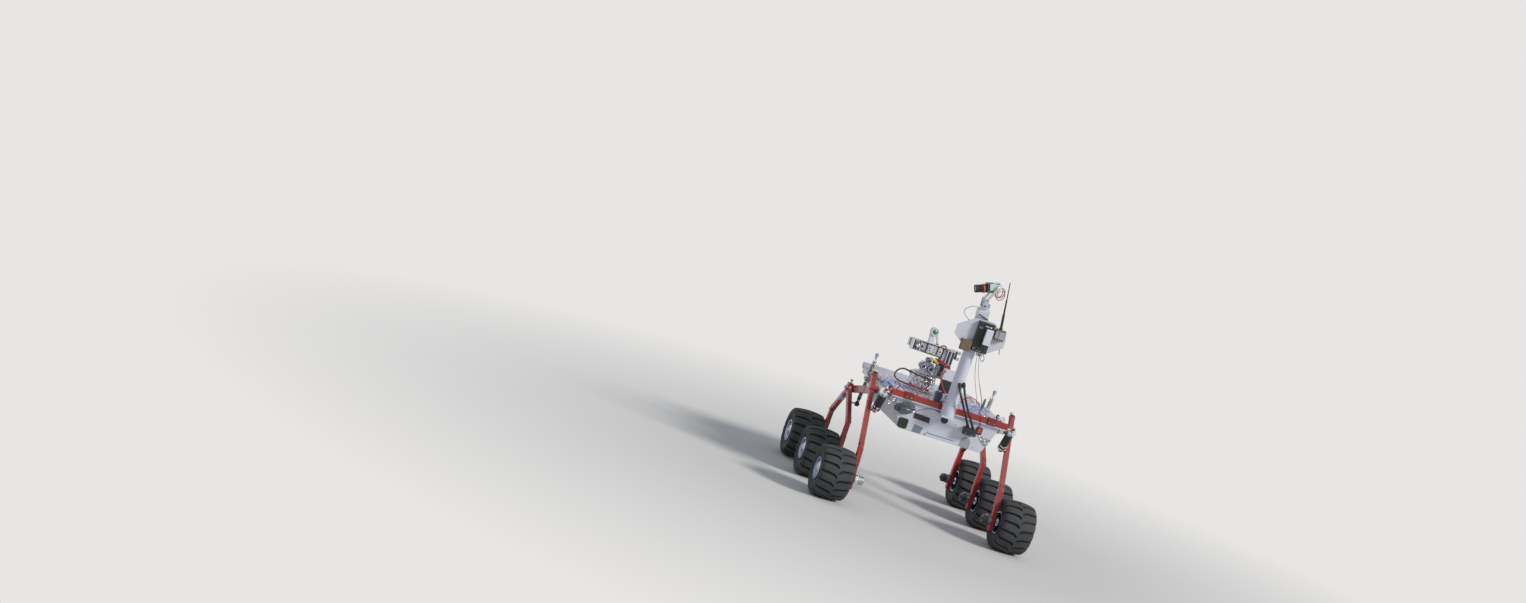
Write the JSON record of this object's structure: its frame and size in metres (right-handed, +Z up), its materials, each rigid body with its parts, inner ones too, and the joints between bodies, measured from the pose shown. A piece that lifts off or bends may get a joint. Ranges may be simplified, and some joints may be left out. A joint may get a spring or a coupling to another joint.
{
  "type": "six-wheeled planetary rover prototype",
  "caption": "Rocker and bogie rover with a white tub body, foil deck, folded arm, and a pipe mast carrying an electronics plate and a pan and tilt camera.",
  "frame": {"origin": "on the ground, at the bottom centre of the bounding box, midway between the wheels", "axes": "+X forward, +Y to the rover's left, +Z up along the mast"},
  "size_m": [1.2, 1.2, 1.3663],
  "materials": {
    "red_paint": "glossy red paint on aluminium tube",
    "white_paint": "white painted sheet",
    "foil": "crumpled aluminised foil",
    "aluminium": "satin machined",
    "chrome": "polished",
    "steel": "zinc plated",
    "tan_anodised": "champagne anodised",
    "black_plastic": "moulded, matt",
    "white_plastic": "moulded, smooth",
    "grey_plastic": "moulded, matt",
    "tan_card": "matt tan cover",
    "mint_plastic": "pale green-white",
    "dark_red": "dark red and black",
    "tyre_rubber": "dusty black rubber",
    "rim_metal": "bright silver",
    "cable_black": "smooth black sheath",
    "cable_red": "red and black sheath"
  },
  "bodies": {
    "chassis": {"rocker_left": "red_paint", "rocker_right": "red_paint", "bogie_left": "red_paint", "bogie_right": "red_paint", "body_tub": "white_paint", "deck_plate": "foil", "battery_block": "black_plastic", "front_beam": "red_paint", "rear_beam": "red_paint", "side_rails": "aluminium", "bearing_blocks": "aluminium", "rocker_shafts": "steel", "deck_foil": "foil", "leg_caps": "white_plastic", "strut_tubes": "tan_anodised", "strut_rods": "chrome", "strut_ends": "black_plastic", "strut_clamps": "steel", "damper_caps": "chrome", "damper_bodies": "black_plastic", "damper_links": "red_paint", "drive_motors": "steel", "mast_tube": "white_paint", "mast_socket": "white_paint", "mast_plate": "white_paint", "radio_black": "black_plastic", "radio_white": "white_plastic", "radio_grey": "grey_plastic", "radio_tan": "tan_card", "antenna": "cable_black", "pan_base": "aluminium", "arm_drum": "foil", "controller_box": "black_plastic", "controller_panel": "white_plastic", "front_fittings": "black_plastic", "mast_cable_inner": "cable_black", "mast_cable_outer": "cable_black", "deck_cable": "cable_red"},
    "arm_turret": {"turret": "aluminium", "turret_motors": "steel"},
    "arm_upper": {"arm_channel": "aluminium", "arm_sensor": "white_plastic"},
    "arm_fore": {"forearm": "aluminium", "tool_flange": "aluminium"},
    "head_pan": {"head_fork": "white_paint"},
    "head_tilt": {"camera_box": "mint_plastic", "camera_core": "dark_red", "camera_lens": "black_plastic"},
    "wheel_front_left": {"tyre_front_left": "tyre_rubber", "rim_front_left": "rim_metal"},
    "wheel_middle_left": {"tyre_middle_left": "tyre_rubber", "rim_middle_left": "rim_metal"},
    "wheel_rear_left": {"tyre_rear_left": "tyre_rubber", "rim_rear_left": "rim_metal"},
    "wheel_front_right": {"tyre_front_right": "tyre_rubber", "rim_front_right": "rim_metal"},
    "wheel_middle_right": {"tyre_middle_right": "tyre_rubber", "rim_middle_right": "rim_metal"},
    "wheel_rear_right": {"tyre_rear_right": "tyre_rubber", "rim_rear_right": "rim_metal"}
  },
  "joints": [
    {"name": "spin_front_left", "type": "hinge", "parent": "chassis", "child": "wheel_front_left", "pos_m": [0.46, 0.51, 0.14], "axis": [0, 1, 0], "continuous": true},
    {"name": "spin_middle_left", "type": "hinge", "parent": "chassis", "child": "wheel_middle_left", "pos_m": [0, 0.51, 0.14], "axis": [0, 1, 0], "continuous": true},
    {"name": "spin_rear_left", "type": "hinge", "parent": "chassis", "child": "wheel_rear_left", "pos_m": [-0.46, 0.51, 0.14], "axis": [0, 1, 0], "continuous": true},
    {"name": "spin_front_right", "type": "hinge", "parent": "chassis", "child": "wheel_front_right", "pos_m": [0.46, -0.51, 0.14], "axis": [0, 1, 0], "continuous": true},
    {"name": "spin_middle_right", "type": "hinge", "parent": "chassis", "child": "wheel_middle_right", "pos_m": [0, -0.51, 0.14], "axis": [0, 1, 0], "continuous": true},
    {"name": "spin_rear_right", "type": "hinge", "parent": "chassis", "child": "wheel_rear_right", "pos_m": [-0.46, -0.51, 0.14], "axis": [0, 1, 0], "continuous": true},
    {"name": "head_pan", "type": "hinge", "parent": "chassis", "child": "head_pan", "pos_m": [0.432, -0.02, 1.1943], "axis": [0, 0, 1], "range_deg": [-110, 110]},
    {"name": "head_tilt", "type": "hinge", "parent": "head_pan", "child": "head_tilt", "pos_m": [0.432, 0.006, 1.316], "axis": [1, 0, 0], "range_deg": [-35, 30]},
    {"name": "arm_turn", "type": "hinge", "parent": "chassis", "child": "arm_turret", "pos_m": [-0.04, -0.075, 0.722], "axis": [0, 0, 1], "range_deg": [-90, 90]},
    {"name": "arm_shoulder", "type": "hinge", "parent": "arm_turret", "child": "arm_upper", "pos_m": [-0.04, 0.015, 0.862], "axis": [-1, 0, 0], "range_deg": [0, 100]},
    {"name": "arm_elbow", "type": "hinge", "parent": "arm_upper", "child": "arm_fore", "pos_m": [-0.04, -0.176, 0.862], "axis": [1, 0, 0], "range_deg": [0, 150]}
  ]
}
